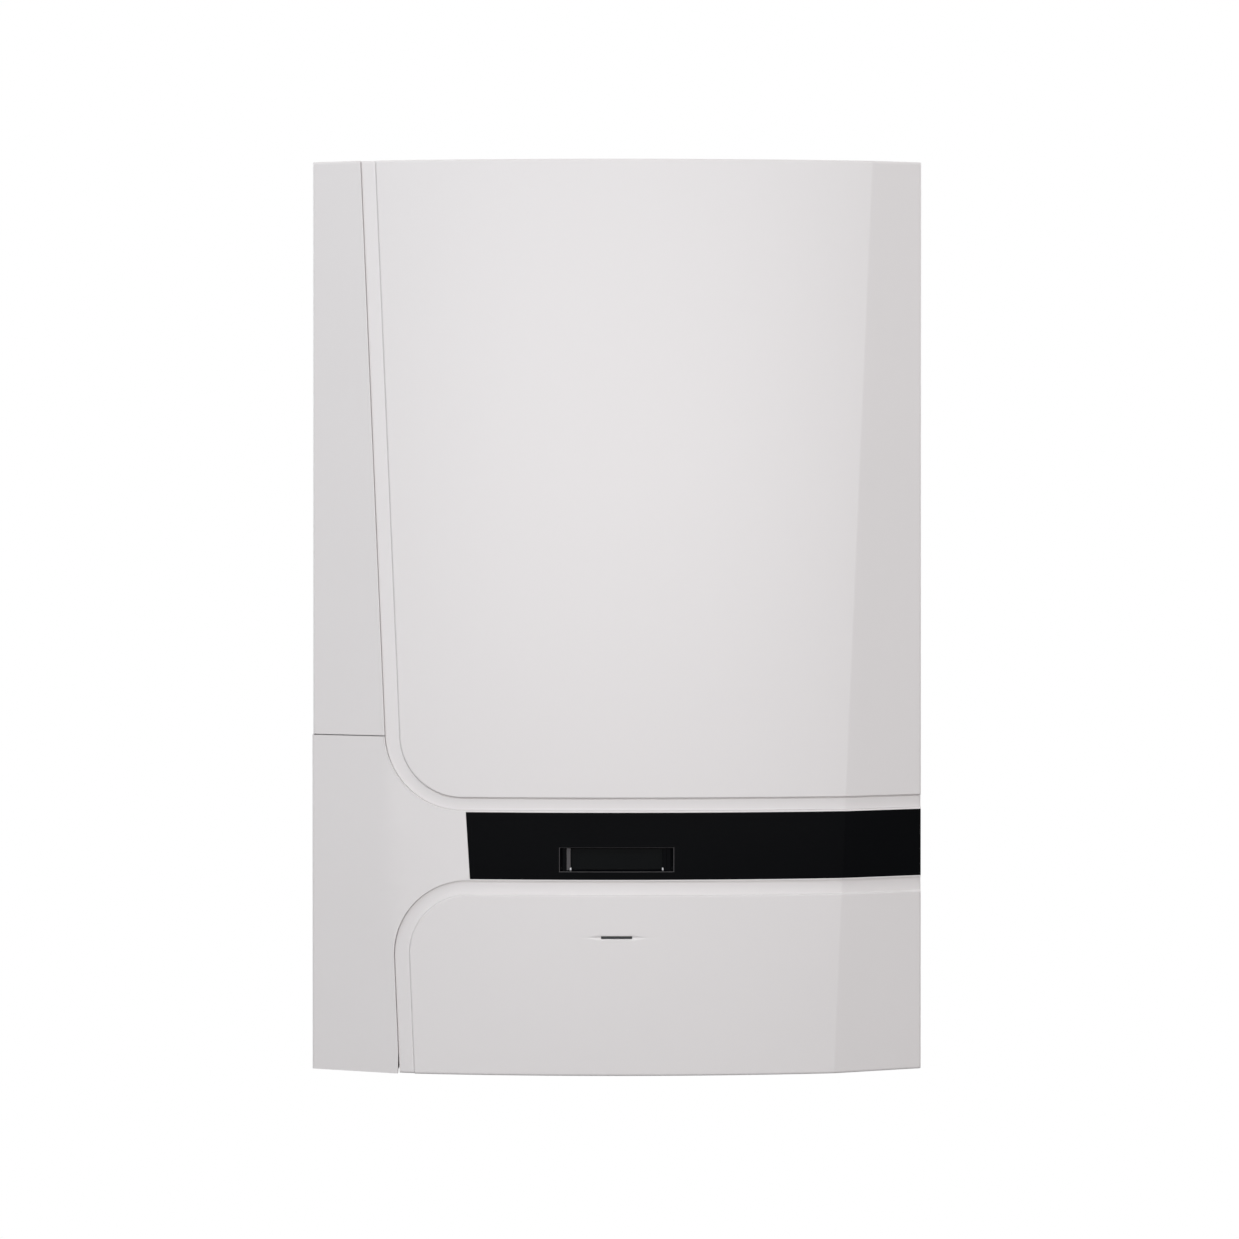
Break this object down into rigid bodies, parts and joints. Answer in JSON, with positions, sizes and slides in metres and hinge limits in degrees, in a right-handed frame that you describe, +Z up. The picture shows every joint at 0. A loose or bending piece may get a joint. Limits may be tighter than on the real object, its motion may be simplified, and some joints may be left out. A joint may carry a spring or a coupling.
{
  "type": "combi boiler",
  "caption": "Wall-hung condensing combi boiler: bowed white front with a gloss black control strip, hinged lower flap, lift-off cover, flue collar on top and pipe stubs below.",
  "frame": {"origin": "middle of the wall bracket's back face, on the wall, 600 mm above the bottom of the casing", "axes": "+Z up, +Y into the wall, -Y out of the front, +X to the right as seen from the front"},
  "size_m": [0.45, 0.45, 0.721],
  "materials": {
    "white_moulding": "satin white moulded ABS",
    "white_paint": "white powder coat on sheet steel",
    "gloss_black": "deep gloss black moulding",
    "dark_plastic": "fine matt",
    "grey_plastic": "matt",
    "light_plastic": "matt, unpainted",
    "rubber": "matt EPDM",
    "zinc_steel": "zinc-plated sheet",
    "cast_aluminium": "as cast",
    "stainless": "bright",
    "copper": "drawn copper tube",
    "brass": "machined",
    "red_paint": "red stove enamel",
    "red_plastic": "moulded",
    "cast_grey": "grey painted casting",
    "circuit_green": "solder resist",
    "display_glass": "dark unlit display window"
  },
  "bodies": {
    "boiler": {"wall_bracket": "zinc_steel", "back_panel": "zinc_steel", "side_panel_left": "white_paint", "side_panel_right": "white_paint", "top_panel": "white_paint", "bottom_panel": "white_paint", "cable_glands": "dark_plastic", "flue_adapter": "white_moulding", "flue_seal": "rubber", "test_point_caps": "dark_plastic", "flue_pipe": "grey_plastic", "heat_exchanger": "cast_aluminium", "burner_hood": "cast_aluminium", "burner_tube": "stainless", "ignition_electrode": "light_plastic", "fan_housing": "cast_aluminium", "fan_motor": "dark_plastic", "venturi": "cast_aluminium", "intake_silencer": "dark_plastic", "gas_valve": "cast_aluminium", "gas_pipe": "stainless", "condensate_tray": "dark_plastic", "siphon": "grey_plastic", "expansion_vessel": "red_paint", "vessel_bracket": "zinc_steel", "vessel_hose": "stainless", "flow_block": "brass", "return_block": "brass", "diverter_actuator": "dark_plastic", "pump_housing": "cast_grey", "pump_motor": "dark_plastic", "air_vent": "brass", "plate_exchanger": "stainless", "flow_pipe": "copper", "return_pipe": "copper", "hot_water_pipe": "copper", "cold_water_pipe": "copper", "connection_rail": "brass", "relief_valve": "brass", "instrument_box": "dark_plastic", "control_board": "circuit_green", "key_panel": "grey_plastic", "display_module": "display_glass"},
    "front_cover": {"cover_frame": "light_plastic", "cover_seal": "rubber", "main_panel": "white_moulding", "left_trim": "white_moulding", "bridge_panel": "white_moulding", "control_strip": "gloss_black"},
    "flap_door": {"flap": "white_moulding", "light_guide": "dark_plastic"},
    "screw_left": {"cover_screw_left": "zinc_steel"},
    "screw_right": {"cover_screw_right": "zinc_steel"},
    "fan_wheel": {"fan_impeller": "dark_plastic"},
    "escape_button": {"key_escape": "light_plastic"},
    "minus_button": {"key_minus": "light_plastic"},
    "plus_button": {"key_plus": "light_plastic"},
    "enter_button": {"key_enter": "light_plastic"},
    "power_rocker": {"power_switch": "dark_plastic"},
    "relief_handle": {"relief_knob": "red_plastic"}
  },
  "joints": [
    {"name": "cover_pull", "type": "slide", "parent": "boiler", "child": "front_cover", "axis": [0, -1, 0], "range_m": [0, 0.35]},
    {"name": "flap_hinge", "type": "hinge", "parent": "front_cover", "child": "flap_door", "pos_m": [0, -0.408, -0.59], "axis": [1, 0, 0], "range_deg": [0, 90]},
    {"name": "screw_left_turn", "type": "hinge", "parent": "front_cover", "child": "screw_left", "pos_m": [-0.185, -0.34, -0.597], "axis": [0, 0, 1], "range_deg": [0, 90]},
    {"name": "screw_right_turn", "type": "hinge", "parent": "front_cover", "child": "screw_right", "pos_m": [0.185, -0.34, -0.597], "axis": [0, 0, 1], "range_deg": [0, 90]},
    {"name": "fan_spin", "type": "hinge", "parent": "boiler", "child": "fan_wheel", "pos_m": [0, -0.37, -0.145], "axis": [0, 1, 0], "continuous": true},
    {"name": "escape_press", "type": "slide", "parent": "boiler", "child": "escape_button", "axis": [0, 1, 0], "range_m": [0, 0.0012], "stiffness_N_per_m": 300},
    {"name": "minus_press", "type": "slide", "parent": "boiler", "child": "minus_button", "axis": [0, 1, 0], "range_m": [0, 0.0012], "stiffness_N_per_m": 300},
    {"name": "plus_press", "type": "slide", "parent": "boiler", "child": "plus_button", "axis": [0, 1, 0], "range_m": [0, 0.0012], "stiffness_N_per_m": 300},
    {"name": "enter_press", "type": "slide", "parent": "boiler", "child": "enter_button", "axis": [0, 1, 0], "range_m": [0, 0.0012], "stiffness_N_per_m": 300},
    {"name": "power_rock", "type": "hinge", "parent": "boiler", "child": "power_rocker", "pos_m": [0.118, -0.4118, -0.488], "axis": [1, 0, 0], "range_deg": [-8, 8]},
    {"name": "relief_turn", "type": "hinge", "parent": "boiler", "child": "relief_handle", "pos_m": [0.181, -0.125, -0.45], "axis": [0, 0, 1], "range_deg": [0, 90]}
  ]
}
